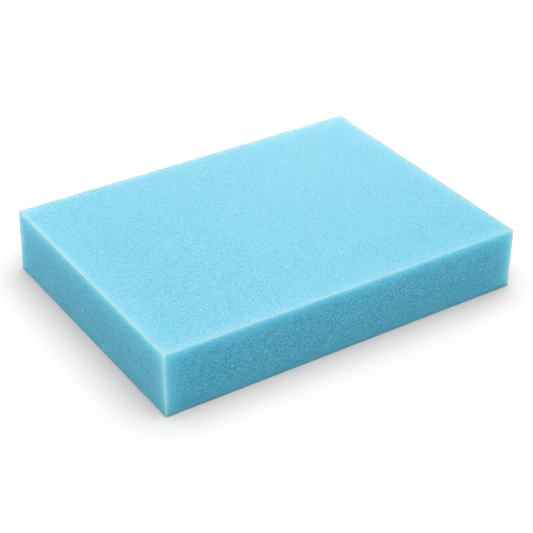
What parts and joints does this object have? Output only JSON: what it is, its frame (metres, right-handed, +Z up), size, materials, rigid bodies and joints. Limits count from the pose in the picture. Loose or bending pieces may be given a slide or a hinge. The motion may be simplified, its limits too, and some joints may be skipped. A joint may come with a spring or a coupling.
{
  "type": "foam sheet",
  "caption": "Flat rectangular sheet of light blue open-cell foam with square-cut edges, used as a soft pad, liner or spacer.",
  "frame": {"origin": "middle of the face that the sheet rests on", "axes": "+X along the length, +Y along the width, +Z up through the thickness"},
  "size_m": [0.148, 0.11, 0.0254],
  "materials": {
    "foam": "matte open-cell foam, fine even pores on every cut face"
  },
  "bodies": {
    "root": {"foam_sheet": "foam"}
  },
  "joints": []
}
